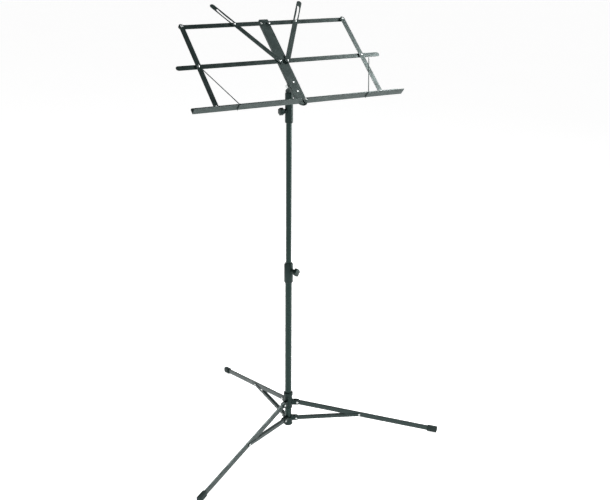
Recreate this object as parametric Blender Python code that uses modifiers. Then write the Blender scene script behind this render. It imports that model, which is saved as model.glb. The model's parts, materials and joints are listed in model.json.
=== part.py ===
"""Folding music stand: tripod, telescopic pole and folding desk, in metres with +Z up.

The desk faces -Y. Desk pieces are drawn in the desk's own frame: u to the right, v up the
desk and n out of its front, all measured from the middle of the desk's lower edge.
"""

import math

import bmesh
import bpy
from mathutils import Euler, Matrix, Vector

# Pole axis, placed so that the bounding box is centred on the origin
POLE_X = 0.00592
POLE_Y = -0.08106
GAP = 0.0003

# Telescopic pole
LOWER_TUBE_R = 0.0076
LOWER_TUBE_BORE_R = 0.0068
LOWER_TUBE_BOTTOM = 0.0175
LOWER_TUBE_TOP = 0.4095
UPPER_TUBE_R = 0.0062
UPPER_TUBE_BORE_R = 0.0054
UPPER_TUBE_BOTTOM = 0.345
UPPER_TUBE_TOP = 0.795
CLAMP_BOTTOM = 0.3752
CLAMP_TOP = 0.4217
CLAMP_R = 0.0102
CLAMP_KNOB_Z = 0.4030
CLAMP_KNOB_AZIMUTH = math.radians(-65.0)
CLAMP_KNOB_R = 0.0095

# Tripod: leg k points at LEG_AZIMUTH + k * 120 degrees
LEG_COUNT = 3
LEG_AZIMUTH = math.radians(-31.97)
LEG_PIVOT = (0.0213, 0.0744)
FOOT_CENTRE = (0.3417, 0.0080)
BRACE_PIVOT = (0.0193, 0.0333)
RIVET_ALONG_LEG = 0.1495
LEG_WIDTH = 0.0052
LEG_HEIGHT = 0.0104
LEG_WALL = 0.0009
LEG_INNER_OVERHANG = 0.0040
BRACE_WIDTH = 0.0080
BRACE_HEIGHT = 0.0076
BRACE_OVERHANG = 0.0036
BRACE_FORK = 0.0370
PIN_R = 0.00125
PIN_HOLE_R = 0.00160
EAR_THICKNESS = 0.0015
FOOT_LENGTH = 0.0220
FOOT_WIDTH = 0.0112
FOOT_HEIGHT = 0.0146
LEG_HUB_BOTTOM = 0.0600
LEG_HUB_TOP = 0.1000
LEG_HUB_R = 0.0095
LEG_HUB_RING_R = 0.0108
LOWER_HUB_BOTTOM = 0.0156
LOWER_HUB_TOP = 0.0360
LOWER_HUB_R = 0.0102

# Head of the pole
SOCKET_BOTTOM = 0.738
SOCKET_TOP = 0.803
SOCKET_R = 0.0086
SOCKET_BORE_R = 0.0065
SOCKET_KNOB_Z = 0.764
SOCKET_KNOB_R = 0.00825
DESK_LEAN = math.radians(42.27)
TILT_AXIS_Y = -0.01335
TILT_AXIS_Z = 0.8184
TILT_V = 0.0550
TILT_N = -0.0125
KNUCKLE_R = 0.0048
KNUCKLE_HALF = 0.0090
BOLT_R = 0.0020

# Desk: pivots of each half, and the layers of its bars from back to front
PIVOT_U = 0.0093
OUTER_U = 0.1967
TOP_V = 0.2203
MID_V = 0.1140
LEDGE_V = 0.0114
PAGE_RIVET_U = 0.0748
MID_BAR_END_U = 0.2457
PAGE_BAR_LENGTH = 0.1910
BAR_R = 0.0057
BAR_THICKNESS = 0.0009
WEB_BACK = -0.0056
WEB_FRONT = -0.0044
LAYER_TOP = -0.00365
LAYER_MID = -0.00245
LAYER_PAGE = -0.00125
LAYER_OUTER = -0.00005
RIVET_SHANK_R = 0.0012
RIVET_HOLE_R = 0.0016
RIVET_HEAD_R = 0.0025
SMALL_HEAD_R = 0.0023
HEAD_HEIGHT = 0.0010
SLOT_HALF = 0.0023
SLOT_SHANK_R = 0.0008
SLOT_BEND = 0.35
FOLD_LIMIT = math.radians(84.0)
PAGE_FOLD_RATIO = 0.34375
STRAP_HALF = 0.0120
STRAP_BOTTOM = 0.0050
STRAP_TOP = 0.2320
STRAP_FLANGE = 0.0012
STRAP_FLANGE_BACK = -0.0101
STRAP_RIVETS_V = (0.0580, 0.0340)
LEDGE_BOTTOM = 0.0016
LEDGE_TOP = 0.0155
LEDGE_END_U = 0.2500
LEDGE_DEPTH_N = 0.0130
LEDGE_INNER_U = 0.0033
LEFT_SHELF_INNER_U = 0.0080
CLIP_R = 0.0010
CLIP_U = 0.1535
CLIP_V = 0.0003
CLIP_FRONT_N = 0.0144
CLIP_BACK_N = -0.0030
CLIP_TIP = (0.0465, 0.0932)

PAINT = ((0.024, 0.031, 0.029), 0.42, 0.0)
TUBE_PAINT = ((0.030, 0.036, 0.035), 0.34, 0.0)
NICKEL = ((0.62, 0.64, 0.63), 0.28, 1.0)
KNOB_PLASTIC = ((0.020, 0.024, 0.023), 0.45, 0.0)
RUBBER = ((0.018, 0.019, 0.019), 0.75, 0.0)


def start_scene():
    for obj in list(bpy.data.objects):
        bpy.data.objects.remove(obj, do_unlink=True)
    parts = bpy.data.collections.new("music_stand")
    cutters = bpy.data.collections.new("cutters")
    cutters.hide_render = True
    bpy.context.scene.collection.children.link(parts)
    bpy.context.scene.collection.children.link(cutters)
    return parts, cutters


PARTS, CUTTERS = start_scene()


def paint(obj, finish):
    colour, roughness, metallic = finish
    material = bpy.data.materials.new(obj.name)
    material.use_nodes = True
    shader = material.node_tree.nodes["Principled BSDF"]
    shader.inputs["Base Color"].default_value = (*colour, 1.0)
    shader.inputs["Roughness"].default_value = roughness
    shader.inputs["Metallic"].default_value = metallic
    obj.data.materials.append(material)


def place(obj, parent, location=(0.0, 0.0, 0.0), rotation=(0.0, 0.0, 0.0)):
    obj.parent = parent
    obj.location = location
    obj.rotation_euler = rotation
    return obj


def empty(name, parent, location, rotation=(0.0, 0.0, 0.0)):
    obj = bpy.data.objects.new(name, None)
    PARTS.objects.link(obj)
    return place(obj, parent, location, rotation)


def mesh_object(name, bm, smooth):
    mesh = bpy.data.meshes.new(name)
    for face in bm.faces:
        face.smooth = smooth
    bm.to_mesh(mesh)
    bm.free()
    obj = bpy.data.objects.new(name, mesh)
    PARTS.objects.link(obj)
    return obj


def box(name, low, high):
    bm = bmesh.new()
    bmesh.ops.create_cube(bm, size=1.0)
    size = Vector(high) - Vector(low)
    middle = (Vector(high) + Vector(low)) / 2.0
    bmesh.ops.transform(bm, matrix=Matrix.Translation(middle) @ Matrix.Diagonal((*size, 1.0)), verts=bm.verts)
    return mesh_object(name, bm, False)


def cylinder(name, radius, low, high, axis="Z", sides=24):
    """A cylinder from low to high along one axis through its own origin."""
    bm = bmesh.new()
    bmesh.ops.create_cone(
        bm, cap_ends=True, segments=sides, radius1=radius, radius2=radius, depth=high - low
    )
    turn = {"X": Euler((0.0, math.pi / 2, 0.0)), "Y": Euler((-math.pi / 2, 0.0, 0.0)), "Z": Euler()}[axis]
    shift = Matrix.Translation((0.0, 0.0, (low + high) / 2.0))
    bmesh.ops.transform(bm, matrix=turn.to_matrix().to_4x4() @ shift, verts=bm.verts)
    return mesh_object(name, bm, True)


def turned(name, profile, closed=False, steps=32):
    """A body of revolution about Z: (radius, z) points that run down its outer side."""
    bm = bmesh.new()
    points = [bm.verts.new((radius, 0.0, z)) for radius, z in profile]
    for first, second in zip(points, points[1:]):
        bm.edges.new((first, second))
    if closed:
        bm.edges.new((points[-1], points[0]))
    obj = mesh_object(name, bm, False)
    screw = obj.modifiers.new("turn", "SCREW")
    screw.steps = steps
    screw.render_steps = steps
    screw.use_merge_vertices = True
    screw.merge_threshold = 0.00001
    screw.use_smooth_shade = True
    return obj


def arc(centre, radius, start, end, steps):
    """Points along an arc, with its angles in degrees."""
    for step in range(steps + 1):
        angle = math.radians(start + (end - start) * step / steps)
        yield (centre[0] + radius * math.cos(angle), centre[1] + radius * math.sin(angle))


def ring(centre, radius, steps=16):
    return list(arc(centre, radius, 0.0, 360.0, steps))[:-1]


def slot(start, end, radius, steps=8):
    """The outline of a bar or slot with round ends, between two points on a line along X."""
    return [*arc(end, radius, -90.0, 90.0, steps), *arc(start, radius, 90.0, 270.0, steps)]


def rounded(low, high, radius, steps=4):
    """A rectangle with rounded corners."""
    corners = (
        ((high[0] - radius, low[1] + radius), -90.0),
        ((high[0] - radius, high[1] - radius), 0.0),
        ((low[0] + radius, high[1] - radius), 90.0),
        ((low[0] + radius, low[1] + radius), 180.0),
    )
    return [point for centre, start in corners for point in arc(centre, radius, start, start + 90.0, steps)]


def plate(name, loops, thickness):
    """A flat plate in XY, centred on its own plane: the first loop is its edge, the others are holes."""
    curve = bpy.data.curves.new(name, "CURVE")
    curve.dimensions = "2D"
    curve.fill_mode = "BOTH"
    curve.extrude = thickness / 2.0
    for loop in loops:
        spline = curve.splines.new("POLY")
        spline.points.add(len(loop) - 1)
        for point, (x, y) in zip(spline.points, loop):
            point.co = (x, y, 0.0, 1.0)
        spline.use_cyclic_u = True
    obj = bpy.data.objects.new(name, curve)
    PARTS.objects.link(obj)
    return obj


def as_mesh(curve_object):
    """The same shape as a welded mesh, so that it can be cut and joined."""
    bpy.context.view_layer.update()
    evaluated = curve_object.evaluated_get(bpy.context.evaluated_depsgraph_get())
    mesh = bpy.data.meshes.new_from_object(evaluated)
    name = curve_object.name
    bm = bmesh.new()
    bm.from_mesh(mesh)
    bmesh.ops.remove_doubles(bm, verts=bm.verts, dist=0.000001)
    bm.to_mesh(mesh)
    bm.free()
    world = curve_object.matrix_world.copy()
    bpy.data.objects.remove(curve_object, do_unlink=True)
    obj = bpy.data.objects.new(name, mesh)
    obj.matrix_world = world
    PARTS.objects.link(obj)
    return obj


def boolean(target, tool, operation, location=(0.0, 0.0, 0.0), rotation=(0.0, 0.0, 0.0)):
    """Joins or cuts the target with a tool that is placed in the target's own frame."""
    PARTS.objects.unlink(tool)
    CUTTERS.objects.link(tool)
    tool.display_type = "WIRE"
    tool.hide_render = True
    place(tool, target, location, rotation)
    modifier = target.modifiers.new(tool.name, "BOOLEAN")
    modifier.operation = operation
    modifier.solver = "EXACT"
    modifier.object = tool


def join(target, tool, location=(0.0, 0.0, 0.0), rotation=(0.0, 0.0, 0.0)):
    boolean(target, tool, "UNION", location, rotation)


def cut(target, tool, location=(0.0, 0.0, 0.0), rotation=(0.0, 0.0, 0.0)):
    boolean(target, tool, "DIFFERENCE", location, rotation)


def tube(name, radius, bore, bottom, top, steps=32):
    return turned(name, [(radius, top), (radius, bottom), (bore, bottom), (bore, top)], closed=True, steps=steps)


def through_rivet(name, shank_r, head_r, half_grip, steps=16):
    """A rivet along Z with a low domed head at each end; half_grip is where its heads start."""
    crown = head_r * 0.62
    top = half_grip + HEAD_HEIGHT
    profile = [
        (0.0, top),
        (crown, top - HEAD_HEIGHT * 0.15),
        (head_r, half_grip + HEAD_HEIGHT * 0.35),
        (head_r, half_grip),
        (shank_r, half_grip),
        (shank_r, -half_grip),
        (head_r, -half_grip),
        (head_r, -half_grip - HEAD_HEIGHT * 0.35),
        (crown, -top + HEAD_HEIGHT * 0.15),
        (0.0, -top),
    ]
    return turned(name, profile, steps=steps)


POLE = empty("pole_axis", None, (POLE_X, POLE_Y, 0.0))
SLIDING_POLE = empty("sliding_pole", POLE, (0.0, 0.0, 0.0))
TILT = empty("tilt_axis", SLIDING_POLE, (0.0, TILT_AXIS_Y, TILT_AXIS_Z), (DESK_LEAN, 0.0, 0.0))


def knob(name, radius, thickness, lobes, shank_r, shank_length):
    """A lobed knob whose face is at +Z and whose screw runs down -Z from its own origin."""
    depth = radius * 0.09
    outline = []
    steps = lobes * 8
    for step in range(steps):
        angle = 2.0 * math.pi * step / steps
        reach = radius - depth + depth * math.cos(lobes * angle)
        outline.append((reach * math.cos(angle), reach * math.sin(angle)))
    body = as_mesh(plate(name, [outline], thickness))
    bevel = body.modifiers.new("soft_edges", "BEVEL")
    bevel.width = thickness * 0.14
    bevel.segments = 2
    bevel.limit_method = "ANGLE"
    bevel.angle_limit = math.radians(50.0)
    join(body, cylinder(name + "_screw", shank_r, -thickness / 2 - shank_length, 0.0, sides=16))
    collar_r = radius * 0.55
    join(body, cylinder(name + "_collar", collar_r, -thickness / 2 - 0.0015, 0.0, sides=20))
    return body


def build_lower_tube():
    obj = tube("lower_tube", LOWER_TUBE_R, LOWER_TUBE_BORE_R, LOWER_TUBE_BOTTOM, LOWER_TUBE_TOP)
    paint(place(obj, POLE), TUBE_PAINT)


def build_upper_tube():
    obj = tube("upper_tube", UPPER_TUBE_R, UPPER_TUBE_BORE_R, UPPER_TUBE_BOTTOM, UPPER_TUBE_TOP)
    paint(place(obj, SLIDING_POLE), TUBE_PAINT)
    end = UPPER_TUBE_BOTTOM
    stem_r = UPPER_TUBE_BORE_R - GAP
    profile = [
        (0.0, end + 0.008),
        (stem_r, end + 0.008),
        (stem_r, end - GAP),
        (UPPER_TUBE_R, end - GAP),
        (UPPER_TUBE_R, end - 0.004),
        (0.0, end - 0.004),
    ]
    plug = turned("upper_tube_plug", profile, steps=24)
    paint(place(plug, SLIDING_POLE), KNOB_PLASTIC)


def build_clamp():
    lower_bore = LOWER_TUBE_R + GAP
    upper_bore = UPPER_TUBE_R + GAP
    step_z = LOWER_TUBE_TOP + GAP
    chamfer = 0.0022
    profile = [
        (upper_bore, CLAMP_TOP),
        (CLAMP_R - 0.0018, CLAMP_TOP),
        (CLAMP_R, CLAMP_TOP - chamfer * 1.6),
        (CLAMP_R, CLAMP_BOTTOM + chamfer),
        (CLAMP_R - 0.0012, CLAMP_BOTTOM),
        (lower_bore, CLAMP_BOTTOM),
        (lower_bore, step_z),
        (upper_bore, step_z),
    ]
    body = turned("clamp_body", profile, closed=True)
    across = (math.pi / 2, 0.0, CLAMP_KNOB_AZIMUTH + math.pi / 2)
    join(body, cylinder("clamp_boss", 0.0056, 0.0088, 0.0154, sides=24), (0.0, 0.0, CLAMP_KNOB_Z), across)
    cut(body, cylinder("clamp_screw_hole", 0.0024, 0.0050, 0.0200, sides=20), (0.0, 0.0, CLAMP_KNOB_Z), across)
    paint(place(body, POLE), KNOB_PLASTIC)
    centre = 0.0212
    thickness = 0.0070
    out = Vector((math.cos(CLAMP_KNOB_AZIMUTH), math.sin(CLAMP_KNOB_AZIMUTH), 0.0))
    handle = knob("clamp_knob", CLAMP_KNOB_R, thickness, 4, 0.0019, 0.0094)
    place(handle, POLE, out * centre + Vector((0.0, 0.0, CLAMP_KNOB_Z)), across)
    paint(handle, KNOB_PLASTIC)


def hub(name, collar, pivot, ear_r, gap, boss_half, bore):
    """A collar with a pair of ears for each leg; boss_half is how far its pin heads reach, or 0 for none."""
    body = turned(name, collar, closed=False, steps=32)
    width = gap + 2.0 * EAR_THICKNESS
    for k in range(LEG_COUNT):
        azimuth = LEG_AZIMUTH + k * 2.0 * math.pi / LEG_COUNT
        along = (math.pi / 2, 0.0, azimuth)
        outline = slot((0.0068, 0.0), (pivot[0], 0.0), ear_r)
        ear = as_mesh(plate(f"{name}_ear_{k + 1}", [outline], width))
        join(body, ear, (0.0, 0.0, pivot[1]), along)
        spot = (pivot[0] * math.cos(azimuth), pivot[0] * math.sin(azimuth), pivot[1])
        if boss_half:
            head = cylinder(f"{name}_head_{k + 1}", 0.0025, -boss_half, boss_half, sides=16)
            join(body, head, spot, along)
        else:
            hole = cylinder(f"{name}_pin_hole_{k + 1}", PIN_HOLE_R, -width, width, sides=16)
            cut(body, hole, spot, along)
    for k in range(LEG_COUNT):
        azimuth = LEG_AZIMUTH + k * 2.0 * math.pi / LEG_COUNT
        gap_box = box(f"{name}_gap_{k + 1}", (0.0118, -gap / 2.0, -0.02), (0.05, gap / 2.0, 0.02))
        cut(body, gap_box, (0.0, 0.0, pivot[1]), (0.0, 0.0, azimuth))
    cut(body, cylinder(f"{name}_bore", LOWER_TUBE_R + GAP, *bore, sides=40))
    paint(place(body, POLE), KNOB_PLASTIC)


def build_hubs():
    ring_bottom = LEG_HUB_TOP - 0.0070
    leg_collar = [
        (0.0, LEG_HUB_TOP),
        (LEG_HUB_RING_R - 0.001, LEG_HUB_TOP),
        (LEG_HUB_RING_R, LEG_HUB_TOP - 0.001),
        (LEG_HUB_RING_R, ring_bottom),
        (LEG_HUB_R, ring_bottom - 0.0012),
        (LEG_HUB_R, LEG_HUB_BOTTOM),
        (0.0, LEG_HUB_BOTTOM),
    ]
    hub("leg_hub", leg_collar, LEG_PIVOT, 0.0060, LEG_WIDTH + 2 * GAP, 0.0052, (0.05, 0.11))
    lower_collar = [
        (0.0, LOWER_HUB_TOP),
        (LOWER_HUB_R, LOWER_HUB_TOP),
        (LOWER_HUB_R, LOWER_HUB_BOTTOM + 0.0015),
        (LOWER_HUB_R - 0.0015, LOWER_HUB_BOTTOM),
        (0.0, LOWER_HUB_BOTTOM),
    ]
    bore = (LOWER_TUBE_BOTTOM - GAP, LOWER_HUB_TOP + 0.01)
    hub("lower_hub", lower_collar, BRACE_PIVOT, 0.0048, BRACE_WIDTH + 2 * GAP, 0.0, bore)


def channel(name, width, height, start, end):
    """A channel along X, open downward, with small outer corners."""
    half = width / 2.0
    rise = height / 2.0
    inner = half - LEG_WALL
    corner = LEG_WALL * 0.6
    section = [
        (-half, -rise),
        (-inner, -rise),
        (-inner, rise - LEG_WALL),
        (inner, rise - LEG_WALL),
        (inner, -rise),
        (half, -rise),
        (half, rise - corner),
        (half - corner, rise),
        (-half + corner, rise),
        (-half, rise - corner),
    ]
    body = as_mesh(plate(name, [section], end - start))
    lay_down = Matrix(((0.0, 0.0, 1.0, 0.0), (1.0, 0.0, 0.0, 0.0), (0.0, 1.0, 0.0, 0.0), (0.0, 0.0, 0.0, 1.0)))
    body.data.transform(Matrix.Translation(((start + end) / 2.0, 0.0, 0.0)) @ lay_down)
    return body


def build_leg(k, leg_slope, leg_length, brace_slope, brace_length):
    azimuth = LEG_AZIMUTH + k * 2.0 * math.pi / LEG_COUNT
    outward = Vector((math.cos(azimuth), math.sin(azimuth), 0.0))
    number = k + 1

    pin_spot = outward * BRACE_PIVOT[0] + Vector((0.0, 0.0, BRACE_PIVOT[1]))
    hinge = empty(f"brace_axis_{number}", POLE, pin_spot, (0.0, -brace_slope, azimuth))
    brace = channel(f"brace_{number}", BRACE_WIDTH, BRACE_HEIGHT, -BRACE_OVERHANG, brace_length + BRACE_OVERHANG)
    fork_low = (brace_length - BRACE_FORK, -0.01, BRACE_HEIGHT / 2.0 - LEG_WALL - GAP)
    cut(brace, box(f"brace_fork_{number}", fork_low, (brace_length + 0.02, 0.01, 0.02)))
    for spot, x in (("inner", 0.0), ("outer", brace_length)):
        hole = cylinder(f"brace_{spot}_hole_{number}", PIN_HOLE_R, -0.01, 0.01, axis="Y", sides=16)
        cut(brace, hole, (x, 0.0, 0.0))
    paint(place(brace, hinge), PAINT)
    ears = BRACE_WIDTH / 2.0 + GAP + EAR_THICKNESS
    pin = through_rivet(f"brace_pin_{number}", PIN_R, 0.0024, ears + GAP)
    paint(place(pin, POLE, pin_spot, (math.pi / 2, 0.0, azimuth)), NICKEL)

    rivet_radius = LEG_PIVOT[0] + RIVET_ALONG_LEG * math.cos(leg_slope)
    rivet_z = LEG_PIVOT[1] - RIVET_ALONG_LEG * math.sin(leg_slope)
    rivet_spot = outward * rivet_radius + Vector((0.0, 0.0, rivet_z))
    knee = empty(f"leg_axis_{number}", POLE, rivet_spot, (0.0, leg_slope, azimuth))
    half = LEG_WIDTH / 2.0
    rise = LEG_HEIGHT / 2.0
    start = -RIVET_ALONG_LEG - LEG_INNER_OVERHANG
    end = leg_length - RIVET_ALONG_LEG + FOOT_LENGTH * 0.2
    leg = channel(f"leg_{number}", LEG_WIDTH, LEG_HEIGHT, start, end)
    cut(leg, cylinder(f"leg_rivet_hole_{number}", PIN_HOLE_R, -0.01, 0.01, axis="Y", sides=16))
    paint(place(leg, knee), PAINT)
    rivet = through_rivet(f"brace_rivet_{number}", PIN_R, 0.0024, BRACE_WIDTH / 2.0 + GAP)
    paint(place(rivet, knee, rotation=(math.pi / 2, 0.0, 0.0)), NICKEL)

    foot_middle = leg_length - RIVET_ALONG_LEG
    outline = rounded((-FOOT_WIDTH / 2, -FOOT_HEIGHT / 2), (FOOT_WIDTH / 2, FOOT_HEIGHT / 2), 0.0042)
    foot = as_mesh(plate(f"foot_cap_{number}", [outline], FOOT_LENGTH))
    bevel = foot.modifiers.new("soft_edges", "BEVEL")
    bevel.width = 0.0016
    bevel.segments = 2
    bevel.limit_method = "ANGLE"
    bevel.angle_limit = math.radians(50.0)
    pocket = box(
        f"foot_pocket_{number}",
        (-half - GAP, -rise - GAP, -0.02),
        (half + GAP, rise + GAP, FOOT_LENGTH * 0.2 + GAP),
    )
    cut(foot, pocket)
    tread = box(f"foot_tread_{number}", (-0.05, -0.05, -0.05), (0.05, 0.05, 0.0))
    foot_turn = Matrix(((0.0, 0.0, 1.0), (1.0, 0.0, 0.0), (0.0, 1.0, 0.0))).to_euler()
    place(foot, knee, (foot_middle, 0.0, 0.0), foot_turn)
    in_world = Euler((0.0, leg_slope, azimuth)).to_matrix() @ foot_turn.to_matrix()
    drop = in_world.inverted() @ Vector((0.0, 0.0, -FOOT_CENTRE[1]))
    cut(foot, tread, drop, in_world.inverted().to_euler())
    paint(foot, RUBBER)


def build_tripod():
    run = FOOT_CENTRE[0] - LEG_PIVOT[0]
    fall = LEG_PIVOT[1] - FOOT_CENTRE[1]
    leg_slope = math.atan2(fall, run)
    leg_length = math.hypot(run, fall)
    rivet_radius = LEG_PIVOT[0] + RIVET_ALONG_LEG * math.cos(leg_slope)
    rivet_z = LEG_PIVOT[1] - RIVET_ALONG_LEG * math.sin(leg_slope)
    brace_run = rivet_radius - BRACE_PIVOT[0]
    brace_rise = rivet_z - BRACE_PIVOT[1]
    for k in range(LEG_COUNT):
        build_leg(k, leg_slope, leg_length, math.atan2(brace_rise, brace_run), math.hypot(brace_run, brace_rise))


def build_socket():
    lip = 0.0012
    profile = [
        (SOCKET_BORE_R, SOCKET_TOP),
        (SOCKET_R - lip, SOCKET_TOP),
        (SOCKET_R, SOCKET_TOP - lip),
        (SOCKET_R, SOCKET_BOTTOM + lip),
        (SOCKET_R - lip, SOCKET_BOTTOM),
        (SOCKET_BORE_R, SOCKET_BOTTOM),
    ]
    body = turned("socket", profile, closed=True)
    sideways = (0.0, -math.pi / 2, 0.0)
    join(body, cylinder("socket_boss", 0.0048, 0.0074, 0.0118), (0.0, 0.0, SOCKET_KNOB_Z), sideways)
    cut(body, cylinder("socket_screw_hole", 0.0023, 0.0040, 0.0200, sides=20), (0.0, 0.0, SOCKET_KNOB_Z), sideways)
    paint(place(body, SLIDING_POLE), KNOB_PLASTIC)
    handle = knob("socket_knob", SOCKET_KNOB_R, 0.0080, 6, 0.0018, 0.0082)
    paint(place(handle, SLIDING_POLE, (-0.0190, 0.0, SOCKET_KNOB_Z), sideways), KNOB_PLASTIC)


def build_knuckle():
    """The post on the socket that carries the tilt barrel."""
    base = SOCKET_TOP + GAP
    outline = [
        (SOCKET_R - 0.0008, base),
        (SOCKET_R - 0.0008, base + 0.0030),
        *arc((TILT_AXIS_Y, TILT_AXIS_Z), KNUCKLE_R, 42.0, 222.0, 12),
        (-SOCKET_R + 0.0008, base),
    ]
    body = as_mesh(plate("tilt_knuckle", [outline], 0.0090))
    barrel = cylinder("tilt_barrel", KNUCKLE_R, -KNUCKLE_HALF, KNUCKLE_HALF)
    join(body, barrel, (TILT_AXIS_Y, TILT_AXIS_Z, 0.0))
    stem = cylinder("tilt_stem", UPPER_TUBE_R, UPPER_TUBE_TOP + 2 * GAP, base + 0.001, axis="Y")
    join(body, stem)
    hole = cylinder("tilt_hole", BOLT_R + GAP, -0.02, 0.02)
    cut(body, hole, (TILT_AXIS_Y, TILT_AXIS_Z, 0.0))
    place(body, SLIDING_POLE, (0.0, 0.0, 0.0), (math.pi / 2, 0.0, math.pi / 2))
    paint(body, KNOB_PLASTIC)


def on_desk(obj, u, v, n, rotation=(0.0, 0.0, 0.0)):
    return place(obj, TILT, (u, v - TILT_V, n - TILT_N), rotation)


def build_strap():
    web_middle = (WEB_BACK + WEB_FRONT) / 2.0
    half = STRAP_HALF - 0.0003
    edge = rounded((-half, STRAP_BOTTOM), (half, STRAP_TOP), 0.0030)
    holes = [(side * PIVOT_U, v) for side in (-1, 1) for v in (TOP_V, MID_V, LEDGE_V)]
    holes += [(0.0, v) for v in STRAP_RIVETS_V]
    loops = [edge, *(ring(spot, RIVET_HOLE_R) for spot in holes)]
    body = as_mesh(plate("strap", loops, WEB_FRONT - WEB_BACK))
    for side in (-1, 1):
        outer = side * STRAP_HALF
        inner = side * (STRAP_HALF - STRAP_FLANGE)
        low = (min(outer, inner), STRAP_BOTTOM + 0.0030, STRAP_FLANGE_BACK - web_middle)
        high = (max(outer, inner), STRAP_TOP - 0.0030, 0.0)
        join(body, box(f"strap_flange_{side + 2}", low, high))
    paint(on_desk(body, 0.0, 0.0, web_middle), PAINT)


def build_tilt_bracket():
    """A U behind the strap: a base plate with two cheeks that take the tilt bolt."""
    back = WEB_BACK - GAP
    thickness = 0.0009
    base_middle = back - thickness / 2.0
    low_v = 0.0280
    high_v = 0.0640
    half = 0.0105
    cheek = 0.0012
    edge = rounded((-half, low_v), (half, high_v), 0.0010)
    loops = [edge, *(ring((0.0, v), RIVET_HOLE_R) for v in STRAP_RIVETS_V)]
    body = as_mesh(plate("tilt_bracket", loops, thickness))
    for side in (-1, 1):
        outline = [
            (low_v + 0.008, back),
            *arc((TILT_V, TILT_N), 0.0050, 225.0, 360.0, 10),
            (TILT_V + 0.0050, back),
        ]
        side_plate = as_mesh(plate(f"bracket_cheek_{side + 2}", [outline, ring((TILT_V, TILT_N), 0.0024)], cheek))
        centre = side * (half - cheek / 2.0)
        join(body, side_plate, (centre, 0.0, -base_middle), (math.pi / 2, 0.0, math.pi / 2))
    paint(on_desk(body, 0.0, 0.0, base_middle), PAINT)


def build_tilt_bolt():
    reach = 0.0125
    sideways = (0.0, -math.pi / 2, 0.0)
    profile = [
        (0.0, reach + 0.0025),
        (0.0030, reach + 0.0025),
        (0.0042, reach + 0.0014),
        (0.0042, reach),
        (BOLT_R, reach),
        (BOLT_R, -reach - 0.0045),
        (0.0, -reach - 0.0045),
    ]
    bolt = turned("tilt_bolt", profile, steps=20)
    paint(on_desk(bolt, 0.0, TILT_V, TILT_N, sideways), NICKEL)
    nut = as_mesh(plate("tilt_nut", [ring((0.0, 0.0), 0.0042, 6), ring((0.0, 0.0), BOLT_R + 0.0003)], 0.0032))
    paint(on_desk(nut, reach + 0.0016, TILT_V, TILT_N, sideways), NICKEL)


def desk_rivet(name, spots, back, front, head_r, collars=(), shank_r=RIVET_SHANK_R):
    """A rivet along n at its own (u, v), from back to the seat of its head at front, with spacing collars."""
    u, v = spots
    profile = [
        (0.0, front + HEAD_HEIGHT),
        (head_r * 0.6, front + HEAD_HEIGHT * 0.85),
        (head_r, front + HEAD_HEIGHT * 0.35),
        (head_r, front),
        (shank_r, front),
    ]
    for high, low, radius in collars:
        profile += [(shank_r, high), (radius, high), (radius, low), (shank_r, low)]
    profile += [(shank_r, back), (0.0, back)]
    middle = (back + front) / 2.0
    obj = turned(name, [(radius, n - middle) for radius, n in profile], steps=16)
    paint(on_desk(obj, u, v, middle), NICKEL)


def layer_front(layer):
    return layer + BAR_THICKNESS / 2.0


def layer_back(layer):
    return layer - BAR_THICKNESS / 2.0


def page_track(run, rise, lean, steps=14):
    """The slot of a page bar, which bends a little with the path of the rivet that rides in it."""
    middle_line = []
    for step in range(steps + 1):
        fold = FOLD_LIMIT * step / steps
        rivet = Vector((run * math.cos(fold), rise + run * math.sin(fold)))
        heading = lean + fold * PAGE_FOLD_RATIO
        along = rivet.x * math.cos(heading) + rivet.y * math.sin(heading)
        across = -rivet.x * math.sin(heading) + rivet.y * math.cos(heading)
        middle_line.append((along, across * SLOT_BEND))
    first, last = middle_line[0], middle_line[-1]
    lower = [(x, y - SLOT_HALF) for x, y in middle_line]
    upper = [(x, y + SLOT_HALF) for x, y in reversed(middle_line)]
    outer_end = list(arc((last[0] + 0.0005, last[1]), SLOT_HALF, -90.0, 90.0, 8))
    inner_end = list(arc((first[0] - 0.0005, first[1]), SLOT_HALF, 90.0, 270.0, 8))
    return [*lower, *outer_end, *upper, *inner_end]


def build_half(side, word):
    """The bars of one half of the desk; side is -1 for the left and 1 for the right."""
    turn = 0.0 if side > 0 else math.pi

    def bar(name, pivot, length, layer, holes, end_r=BAR_R, slots=(), angle=0.0, start=0.0):
        loops = [slot((start, 0.0), (length, 0.0), end_r)]
        loops += [ring((hole, 0.0), RIVET_HOLE_R) for hole in holes]
        loops += list(slots)
        obj = plate(f"{name}_{word}", loops, BAR_THICKNESS)
        on_desk(obj, side * pivot[0], pivot[1], layer, (0.0, 0.0, turn + side * angle))
        paint(obj, PAINT)

    reach = OUTER_U - PIVOT_U
    bar("top_bar", (PIVOT_U, TOP_V), reach, LAYER_TOP, (0.0, PAGE_RIVET_U - PIVOT_U, reach))
    bar("mid_bar", (PIVOT_U, MID_V), MID_BAR_END_U - BAR_R - PIVOT_U, LAYER_MID, (0.0, reach))

    page_run = PAGE_RIVET_U - PIVOT_U
    page_rise = TOP_V - MID_V
    lean = math.atan2(page_rise, page_run)
    track = [(x, side * y) for x, y in page_track(page_run, page_rise, lean)]
    bar(
        "page_bar",
        (PIVOT_U, MID_V),
        PAGE_BAR_LENGTH - BAR_R,
        LAYER_PAGE,
        (0.0,),
        slots=(track,),
        angle=lean,
    )
    outer_holes = (LEDGE_V - MID_V, 0.0, TOP_V - MID_V)
    loops = [slot((outer_holes[0], 0.0), (outer_holes[2], 0.0), BAR_R)]
    loops += [ring((hole, 0.0), RIVET_HOLE_R) for hole in outer_holes]
    outer = plate(f"outer_bar_{word}", loops, BAR_THICKNESS)
    on_desk(outer, side * OUTER_U, MID_V, LAYER_OUTER, (0.0, 0.0, math.pi / 2))
    paint(outer, PAINT)


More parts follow.
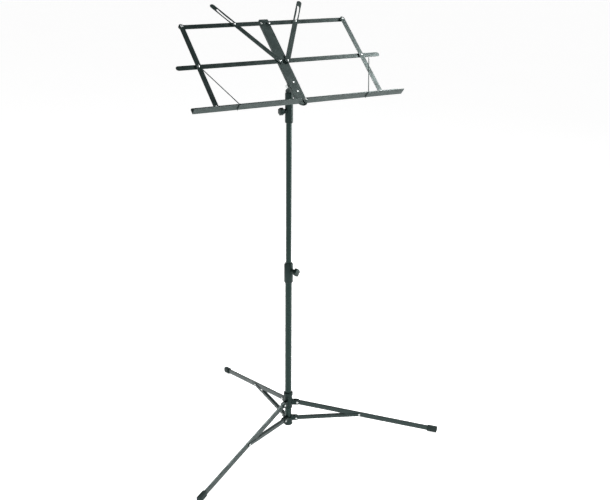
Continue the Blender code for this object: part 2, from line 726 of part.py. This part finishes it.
def build_ledge(side, word):
    """One arm of the music ledge: an upright flange with a shelf in front, with its origin at its pivot."""
    low = LEDGE_BOTTOM - LEDGE_V
    high = LEDGE_TOP - LEDGE_V
    inner = LEDGE_INNER_U - PIVOT_U
    end = LEDGE_END_U - PIVOT_U
    shelf_start = (LEFT_SHELF_INNER_U if side < 0 else LEDGE_INNER_U) - PIVOT_U
    bend = 0.0040
    outline = [
        (end, low),
        *arc((end - bend, high - bend), bend, 0.0, 90.0, 5),
        *arc((inner + bend, high - bend), bend, 90.0, 180.0, 5),
        *arc((inner + 0.0062, low + 0.0062), 0.0062, 180.0, 270.0, 6),
    ]
    reach = OUTER_U - PIVOT_U
    holes = [ring((0.0, 0.0), RIVET_HOLE_R), ring((reach, 0.0), RIVET_HOLE_R)]
    loops = [[(side * x, y) for x, y in loop] for loop in [outline, *holes]]
    body = as_mesh(plate(f"ledge_arm_{word}", loops, BAR_THICKNESS))
    back = layer_back(LAYER_TOP) - LAYER_TOP
    front = LEDGE_DEPTH_N - LAYER_TOP
    corner = 0.0048
    edge = [
        (end, back),
        *arc((end - 0.0015, front - 0.0015), 0.0015, 0.0, 90.0, 3),
        *arc((shelf_start + corner, front - corner), corner, 90.0, 180.0, 6),
        (shelf_start, back),
    ]
    shelf = as_mesh(plate(f"shelf_{word}", [[(side * x, -n) for x, n in edge]], BAR_THICKNESS))
    join(body, shelf, (0.0, low + BAR_THICKNESS / 2.0, 0.0), (-math.pi / 2, 0.0, 0.0))
    paint(on_desk(body, side * PIVOT_U, LEDGE_V, LAYER_TOP), PAINT)


def build_clip(side, word):
    """The wire page clip: its pivot runs under the shelf and its finger stands in front."""
    curve = bpy.data.curves.new(f"page_clip_{word}", "CURVE")
    curve.dimensions = "3D"
    curve.bevel_depth = CLIP_R
    curve.bevel_resolution = 2
    curve.use_fill_caps = True
    route = [
        (0.0, 0.0, CLIP_BACK_N - CLIP_FRONT_N),
        (0.0, 0.0, -0.0016),
        *((side * CLIP_TIP[0] * f, CLIP_TIP[1] * f, 0.0) for f in (0.016, 1.0)),
    ]
    bend = [Vector(route[1]), Vector((0.0, 0.0, -0.0004)), Vector(route[2])]
    points = [Vector(route[0]), bend[0], bend[1], bend[2], Vector(route[3])]
    spline = curve.splines.new("POLY")
    spline.points.add(len(points) - 1)
    for point, place_at in zip(spline.points, points):
        point.co = (*place_at, 1.0)
    obj = bpy.data.objects.new(f"page_clip_{word}", curve)
    PARTS.objects.link(obj)
    paint(on_desk(obj, side * CLIP_U, CLIP_V, CLIP_FRONT_N), PAINT)


def build_desk():
    build_strap()
    build_tilt_bracket()
    build_tilt_bolt()
    for number, v in enumerate(STRAP_RIVETS_V):
        name = f"strap_rivet_{number + 1}"
        desk_rivet(name, (0.0, v), WEB_BACK - 0.0009 - GAP, WEB_FRONT + GAP, RIVET_HEAD_R)
    for side, word in ((-1, "left"), (1, "right")):
        build_half(side, word)
        build_ledge(side, word)
        build_clip(side, word)
        centre_u = side * PIVOT_U
        edge_u = side * OUTER_U
        under_mid = (layer_back(LAYER_MID) - GAP, layer_front(LAYER_TOP) - BAR_THICKNESS, 0.0024)
        desk_rivet(
            f"top_pivot_{word}",
            (centre_u, TOP_V),
            WEB_BACK,
            layer_front(LAYER_TOP) + 0.0001,
            SMALL_HEAD_R,
        )
        desk_rivet(
            f"mid_pivot_{word}",
            (centre_u, MID_V),
            WEB_BACK,
            layer_front(LAYER_PAGE) + 0.0002,
            RIVET_HEAD_R,
            (under_mid,),
        )
        desk_rivet(
            f"ledge_pivot_{word}",
            (centre_u, LEDGE_V),
            WEB_BACK,
            layer_front(LAYER_TOP) + 0.0002,
            RIVET_HEAD_R,
        )
        spacer = (layer_back(LAYER_OUTER) - GAP, layer_front(LAYER_TOP) + GAP, 0.0026)
        for name, v in (("top_corner", TOP_V), ("ledge_corner", LEDGE_V)):
            desk_rivet(
                f"{name}_{word}",
                (edge_u, v),
                layer_back(LAYER_TOP),
                layer_front(LAYER_OUTER) + 0.0002,
                RIVET_HEAD_R,
                (spacer,),
            )
        spacer = (layer_back(LAYER_OUTER) - GAP, layer_front(LAYER_MID) + GAP, 0.0026)
        desk_rivet(
            f"mid_corner_{word}",
            (edge_u, MID_V),
            layer_back(LAYER_MID),
            layer_front(LAYER_OUTER) + 0.0002,
            RIVET_HEAD_R,
            (spacer,),
        )
        spacer = (layer_back(LAYER_PAGE) - GAP, layer_front(LAYER_TOP) + GAP, 0.0024)
        desk_rivet(
            f"page_rivet_{word}",
            (side * PAGE_RIVET_U, TOP_V),
            layer_back(LAYER_TOP),
            layer_front(LAYER_PAGE) + GAP,
            RIVET_HEAD_R,
            (spacer,),
            SLOT_SHANK_R,
        )


build_lower_tube()
build_upper_tube()
build_clamp()
build_hubs()
build_tripod()
build_socket()
build_knuckle()
build_desk()
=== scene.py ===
"""Looks of the folding music stand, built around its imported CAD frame."""

import json
import math

import bmesh
import bpy
from mathutils import Matrix, Vector


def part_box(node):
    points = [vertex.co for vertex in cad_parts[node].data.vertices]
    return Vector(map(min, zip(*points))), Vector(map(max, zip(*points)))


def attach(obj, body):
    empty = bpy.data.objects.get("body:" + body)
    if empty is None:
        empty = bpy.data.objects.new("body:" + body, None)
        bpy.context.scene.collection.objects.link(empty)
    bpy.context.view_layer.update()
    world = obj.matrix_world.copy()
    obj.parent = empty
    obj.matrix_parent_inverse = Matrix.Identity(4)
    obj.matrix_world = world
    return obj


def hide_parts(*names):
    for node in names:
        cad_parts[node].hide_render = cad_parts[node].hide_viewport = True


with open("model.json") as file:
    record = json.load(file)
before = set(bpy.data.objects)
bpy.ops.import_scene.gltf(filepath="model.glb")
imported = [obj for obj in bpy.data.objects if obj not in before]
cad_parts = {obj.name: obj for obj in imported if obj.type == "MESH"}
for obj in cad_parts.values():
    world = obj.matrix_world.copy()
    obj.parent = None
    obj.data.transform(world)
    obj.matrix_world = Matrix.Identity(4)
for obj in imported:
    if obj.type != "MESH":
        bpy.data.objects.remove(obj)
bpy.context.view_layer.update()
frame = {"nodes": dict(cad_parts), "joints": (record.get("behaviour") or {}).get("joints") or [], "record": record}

LEG_COUNT = 3
SHARP_DEGREES = 38.0
FITTING_SHARP_DEGREES = 40.0
WELD_DISTANCE = 0.000002


def middle(node):
    low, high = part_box(node)
    return (low + high) / 2.0


POLE = middle("lower_tube")


def joint(name):
    return next(j for j in frame["joints"] if j["name"] == name)


# Node materials ------------------------------------------------------------------------------


class Look:
    """A procedural material being put together."""

    def __init__(self, name):
        self.material = bpy.data.materials.new(name)
        self.material.use_nodes = True
        self.tree = self.material.node_tree
        self.shader = self.tree.nodes["Principled BSDF"]
        self.place = self.node("ShaderNodeTexCoord").outputs["Object"]

    def node(self, kind, **values):
        made = self.tree.nodes.new(kind)
        for key, value in values.items():
            setattr(made, key, value)
        return made

    def link(self, source, target):
        self.tree.links.new(source, target)

    def set(self, **values):
        for key, value in values.items():
            self.shader.inputs[key.replace("_", " ")].default_value = value

    def noise(self, scale, detail=3.0, roughness=0.55):
        made = self.node("ShaderNodeTexNoise")
        made.inputs["Scale"].default_value = scale
        made.inputs["Detail"].default_value = detail
        made.inputs["Roughness"].default_value = roughness
        self.link(self.place, made.inputs["Vector"])
        return made.outputs["Fac"]

    def spread(self, source, low, high, start=0.35, end=0.65):
        made = self.node("ShaderNodeMapRange")
        made.inputs["From Min"].default_value = start
        made.inputs["From Max"].default_value = end
        made.inputs["To Min"].default_value = low
        made.inputs["To Max"].default_value = high
        self.link(source, made.inputs["Value"])
        return made.outputs["Result"]

    def colours(self, source, first, second):
        made = self.node("ShaderNodeMix", data_type="RGBA")
        self.link(source, made.inputs["Factor"])
        made.inputs["A"].default_value = (*first, 1.0)
        made.inputs["B"].default_value = (*second, 1.0)
        return made.outputs["Result"]

    def bump(self, source, distance, strength=1.0):
        made = self.node("ShaderNodeBump")
        made.inputs["Distance"].default_value = distance
        made.inputs["Strength"].default_value = strength
        self.link(source, made.inputs["Height"])
        self.link(made.outputs["Normal"], self.shader.inputs["Normal"])


def edge_wear(look, base, worn, amount):
    """Lightens convex edges a little, where handling polishes the paint."""
    pointed = look.node("ShaderNodeNewGeometry").outputs["Pointiness"]
    edge = look.spread(pointed, 0.0, amount, 0.52, 0.60)
    mixed = look.node("ShaderNodeMix", data_type="RGBA")
    look.link(edge, mixed.inputs["Factor"])
    look.link(base, mixed.inputs["A"])
    mixed.inputs["B"].default_value = (*worn, 1.0)
    look.link(mixed.outputs["Result"], look.shader.inputs["Base Color"])


def powder_coat(name, dark, light, roughness=0.40):
    look = Look(name)
    patches = look.spread(look.noise(38.0), 0.0, 1.0)
    base = look.colours(patches, dark, light)
    edge_wear(look, base, tuple(1.8 * c + 0.02 for c in light), 0.5)
    grain = look.noise(2600.0, 2.0)
    sheen = look.spread(look.noise(60.0), roughness - 0.06, roughness + 0.07)
    look.link(sheen, look.shader.inputs["Roughness"])
    look.bump(grain, 0.00006, 0.5)
    look.set(Specular_IOR_Level=0.5, Specular_Tint=(0.76, 1.0, 0.96, 1.0))
    look.set(Coat_Weight=0.06, Coat_Roughness=0.25)
    return look.material


def enamel(name, dark, light):
    look = Look(name)
    base = look.colours(look.spread(look.noise(22.0), 0.0, 1.0), dark, light)
    look.link(base, look.shader.inputs["Base Color"])
    look.link(look.spread(look.noise(90.0), 0.24, 0.34), look.shader.inputs["Roughness"])
    look.bump(look.noise(700.0, 2.0), 0.00004, 0.35)
    look.set(Specular_IOR_Level=0.38, Specular_Tint=(0.60, 1.0, 0.90, 1.0))
    look.set(Coat_Weight=0.05, Coat_Roughness=0.18)
    return look.material


def nickel(name):
    look = Look(name)
    base = look.colours(look.spread(look.noise(400.0), 0.0, 1.0), (0.60, 0.64, 0.63), (0.78, 0.81, 0.80))
    look.link(base, look.shader.inputs["Base Color"])
    look.link(look.spread(look.noise(900.0), 0.36, 0.52), look.shader.inputs["Roughness"])
    look.bump(look.noise(1500.0, 2.0), 0.00003, 0.4)
    look.set(Metallic=0.75)
    return look.material


def moulded(name, dark, light, roughness):
    look = Look(name)
    base = look.colours(look.spread(look.noise(70.0), 0.0, 1.0), dark, light)
    edge_wear(look, base, tuple(1.6 * c + 0.015 for c in light), 0.5)
    sheen = look.spread(look.noise(160.0), roughness - 0.05, roughness + 0.08)
    look.link(sheen, look.shader.inputs["Roughness"])
    look.bump(look.noise(1800.0, 3.0), 0.00008, 0.6)
    look.set(Specular_IOR_Level=0.34, Specular_Tint=(0.66, 1.0, 0.93, 1.0))
    return look.material


def rubber(name):
    look = Look(name)
    patches = look.spread(look.noise(120.0), 0.0, 1.0)
    base = look.colours(patches, (0.013, 0.019, 0.018), (0.024, 0.032, 0.031))
    look.link(base, look.shader.inputs["Base Color"])
    look.link(look.spread(look.noise(300.0), 0.62, 0.82), look.shader.inputs["Roughness"])
    look.bump(look.noise(1300.0, 4.0), 0.00012, 0.7)
    look.set(Specular_IOR_Level=0.35, Specular_Tint=(0.70, 1.0, 0.95, 1.0))
    return look.material


LOOKS = {
    "black_paint": powder_coat("black_paint", (0.0035, 0.0095, 0.0085), (0.006, 0.014, 0.0125)),
    "tube_paint": enamel("tube_paint", (0.004, 0.0105, 0.009), (0.0075, 0.0155, 0.0135)),
    "bright_nickel": nickel("bright_nickel"),
    "knob_plastic": moulded("knob_plastic", (0.003, 0.0075, 0.0068), (0.006, 0.0115, 0.0105), 0.42),
    "rubber_cap": rubber("rubber_cap"),
}


def body_of(node):
    bodies = frame["record"]["behaviour"]["bodies"]
    return next(body for body, members in bodies.items() if node in members)


def show(obj, body, slot, *replaced):
    """Gives a finished piece its look and its body, and hides the CAD nodes that it stands for."""
    obj.data.materials.clear()
    obj.data.materials.append(LOOKS[slot])
    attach(obj, body)
    if replaced:
        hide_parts(*replaced)
    return obj


def smooth_mesh(bm, name, sharp_degrees):
    """Links the mesh as an object shaded smooth, except across edges sharper than this."""
    for face in bm.faces:
        face.smooth = True
    for edge in bm.edges:
        if len(edge.link_faces) == 2:
            edge.smooth = edge.calc_face_angle(0.0) < math.radians(sharp_degrees)
    mesh = bpy.data.meshes.new(name)
    bm.to_mesh(mesh)
    bm.free()
    obj = bpy.data.objects.new(name, mesh)
    bpy.context.scene.collection.objects.link(obj)
    return obj


BROKEN_EDGE = {
    "black_paint": 0.00014,
    "tube_paint": 0.00020,
    "bright_nickel": 0.00010,
    "knob_plastic": 0.00035,
    "rubber_cap": 0.00040,
}


def finished_copy(node, slot):
    """The CAD node as one welded, smoothly shaded skin, with its sharp edges broken."""
    bm = bmesh.new()
    bm.from_mesh(frame["nodes"][node].data)
    bmesh.ops.remove_doubles(bm, verts=bm.verts, dist=WELD_DISTANCE)
    bmesh.ops.dissolve_limit(bm, angle_limit=math.radians(0.3), verts=bm.verts, edges=bm.edges)
    obj = smooth_mesh(bm, node + "_skin", SHARP_DEGREES)
    bevel = obj.modifiers.new("broken_edges", "BEVEL")
    bevel.width = BROKEN_EDGE[slot]
    bevel.segments = 2
    bevel.limit_method = "ANGLE"
    bevel.angle_limit = math.radians(SHARP_DEGREES)
    bevel.harden_normals = True
    return show(obj, body_of(node), slot, node)


def dress_nodes():
    """Gives every CAD node its slot's look, and stands a finished copy in for it."""
    for part in frame["record"]["subparts"]:
        node, slot = part["node"], part["material_slot"]
        materials = frame["nodes"][node].data.materials
        materials.clear()
        materials.append(LOOKS[slot])
        finished_copy(node, slot)


# Small fittings -------------------------------------------------------------------------------


def lathe(bm, profile, centre, axis, steps=24):
    """Adds a body turned about axis through centre, from (radius, height) points."""
    side = axis.orthogonal().normalized()
    points = [bm.verts.new(centre + side * radius + axis * height) for radius, height in profile]
    edges = [bm.edges.new(pair) for pair in zip(points, points[1:])]
    bmesh.ops.spin(bm, geom=points + edges, cent=centre, axis=axis, angle=2 * math.pi, steps=steps)


def closed(bm):
    """Welds the seams and turns all faces outward."""
    bmesh.ops.remove_doubles(bm, verts=bm.verts, dist=WELD_DISTANCE)
    bmesh.ops.recalc_face_normals(bm, faces=bm.faces)
    return bm


def leg_pin_heads():
    """The bright domed heads on the ears that carry the legs' upper ends."""
    pin_reach, pin_height = 0.0213, 0.0144
    ear_face, height = 0.0052, 0.0009
    head = [
        (0.0, ear_face + height),
        (0.0012, ear_face + height * 0.92),
        (0.0021, ear_face + height * 0.60),
        (0.0026, ear_face + height * 0.10),
        (0.0026, ear_face - 0.0004),
        (0.0, ear_face - 0.0004),
    ]
    hub_low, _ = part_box("leg_hub")
    bm = bmesh.new()
    for number in range(1, LEG_COUNT + 1):
        pivot = joint(f"brace_fold_{number}")
        out = Vector(pivot["pos_m"]) - Vector((POLE.x, POLE.y, pivot["pos_m"][2]))
        out.normalize()
        spot = Vector((POLE.x, POLE.y, hub_low.z + pin_height)) + out * pin_reach
        for side in (-1.0, 1.0):
            lathe(bm, head, spot, Vector(pivot["axis"]).normalized() * side)
    heads = smooth_mesh(closed(bm), "leg_pin_heads", FITTING_SHARP_DEGREES)
    show(heads, body_of("leg_hub"), "bright_nickel")


def out_of_front(hinge):
    """A fold hinge's axis, turned to point out of the front of the desk."""
    out = Vector(hinge["axis"]).normalized()
    if out.z < 0.0:
        out.negate()
    return out


def strap_tongue():
    """The strap's rounded lower end, seen under and beside the inner end of the left shelf."""
    axis = Vector(joint("desk_tilt")["pos_m"])
    out = out_of_front(joint("desk_fold_left"))
    across = Vector((1.0, 0.0, 0.0))
    up = out.cross(across)
    # Places up the slope and out of the front are measured from the tilt axis.
    radius, middle_v, top_v = 0.0121, -0.0462, -0.0400
    front, back = 0.0080, 0.0070
    arc_steps = 24
    outline = [(-radius, top_v)]
    for step in range(arc_steps + 1):
        turn = math.pi + math.pi * step / arc_steps
        outline.append((radius * math.cos(turn), middle_v + radius * math.sin(turn)))
    outline.append((radius, top_v))
    bm = bmesh.new()
    rims = []
    for depth in (front, back):
        rims.append([bm.verts.new(axis + across * u + up * v + out * depth) for u, v in outline])
    bm.faces.new(rims[0])
    bm.faces.new(list(reversed(rims[1])))
    for index in range(len(outline)):
        after = (index + 1) % len(outline)
        bm.faces.new((rims[0][after], rims[0][index], rims[1][index], rims[1][after]))
    obj = smooth_mesh(closed(bm), "strap_tongue", FITTING_SHARP_DEGREES)
    edge = obj.modifiers.new("rolled_edge", "BEVEL")
    edge.width = 0.0002
    edge.segments = 2
    show(obj, body_of("strap"), "black_paint")


def clip_sleeves():
    """The small crimped sleeve where each wire page clip turns up in front of the shelf."""
    low, high = 0.0133, 0.0158
    bore, face, outside, corner = 0.00105, 0.0018, 0.0022, 0.0004
    profile = [
        (bore, high),
        (face, high),
        (outside, high - corner),
        (outside, low + corner),
        (face, low),
        (bore, low),
        (bore, high),
    ]
    for word in ("left", "right"):
        pivot = joint(f"clip_fold_{word}")
        bm = bmesh.new()
        lathe(bm, profile, Vector(pivot["pos_m"]), out_of_front(pivot))
        sleeve = smooth_mesh(closed(bm), f"clip_sleeve_{word}", FITTING_SHARP_DEGREES)
        show(sleeve, f"clip_{word}", "black_paint")


# Camera and studio ----------------------------------------------------------------------------


def camera():
    """Looks down at the stand from its front left, as a standing person would."""
    data = bpy.data.cameras.new("camera")
    data.sensor_width = 36.0
    data.lens = 55.604
    obj = bpy.data.objects.new("camera", data)
    bpy.context.scene.collection.objects.link(obj)
    obj.matrix_world = (
        Matrix.Translation((POLE.x - 1.0009, POLE.y - 1.7132, 1.1340))
        @ Matrix.Rotation(-0.5471, 4, "Z")
        @ Matrix.Rotation(math.pi / 2 - 0.331, 4, "X")
        @ Matrix.Rotation(0.0088, 4, "Z")
    )
    bpy.context.scene.camera = obj


def light(name, location, target, size, power):
    """A square or oblong area light that points at target."""
    data = bpy.data.lights.new(name, "AREA")
    data.shape = "RECTANGLE"
    data.size, data.size_y = size
    data.energy = power
    obj = bpy.data.objects.new(name, data)
    bpy.context.scene.collection.objects.link(obj)
    obj.location = location
    aim = Vector(target) - Vector(location)
    obj.rotation_euler = aim.to_track_quat("-Z", "Y").to_euler()


def sky():
    """A soft studio: white near the horizon, dark overhead."""
    world = bpy.data.worlds.new("studio")
    world.use_nodes = True
    nodes = world.node_tree.nodes
    links = world.node_tree.links
    place = nodes.new("ShaderNodeTexCoord")
    split = nodes.new("ShaderNodeSeparateXYZ")
    ramp = nodes.new("ShaderNodeValToRGB")
    links.new(place.outputs["Generated"], split.inputs["Vector"])
    links.new(split.outputs["Z"], ramp.inputs["Fac"])
    stops = ((0.0, 1.0), (0.10, 0.85), (0.34, 0.20), (1.0, 0.03))
    elements = ramp.color_ramp.elements
    for index, (position, grey) in enumerate(stops):
        if index == 0:
            stop = elements[0]
        elif index == len(stops) - 1:
            stop = elements[-1]
        else:
            stop = elements.new(position)
        stop.position = position
        stop.color = (grey, grey, grey, 1.0)
    links.new(ramp.outputs["Color"], nodes["Background"].inputs["Color"])
    nodes["Background"].inputs["Strength"].default_value = 1.0
    bpy.context.scene.world = world


def white_floor():
    """A plain white floor, just under the feet, that glows enough to stay white."""
    bm = bmesh.new()
    bmesh.ops.create_grid(bm, x_segments=1, y_segments=1, size=40.0)
    mesh = bpy.data.meshes.new("floor")
    bm.to_mesh(mesh)
    bm.free()
    floor = bpy.data.objects.new("floor", mesh)
    floor.location = (0.0, 0.0, -0.0004)
    bpy.context.scene.collection.objects.link(floor)
    look = Look("floor")
    base = look.colours(look.spread(look.noise(1.5), 0.0, 1.0), (0.78, 0.78, 0.78), (0.80, 0.80, 0.80))
    look.link(base, look.shader.inputs["Base Color"])
    look.set(Roughness=0.9, Specular_IOR_Level=0.1)
    look.set(Emission_Color=(1.0, 1.0, 1.0, 1.0), Emission_Strength=0.85)
    mesh.materials.append(look.material)


def studio():
    bpy.context.scene.view_settings.view_transform = "Standard"
    sky()
    white_floor()
    light("key", (-2.4, -2.2, 2.6), (0.0, 0.0, 0.6), (1.2, 1.2), 36.0)
    light("right_softbox", (1.28, -0.23, 1.88), (0.15, 0.0, 0.85), (0.5, 0.5), 20.5)
    light("top_back", (0.17, 1.11, 1.54), (-0.10, -0.10, 0.05), (0.6, 0.6), 12.0)
    light("low_fill", (2.0, -0.7, 0.40), (0.0, -0.1, 0.10), (0.9, 0.4), 16.0)


dress_nodes()
leg_pin_heads()
strap_tongue()
clip_sleeves()
camera()
studio()
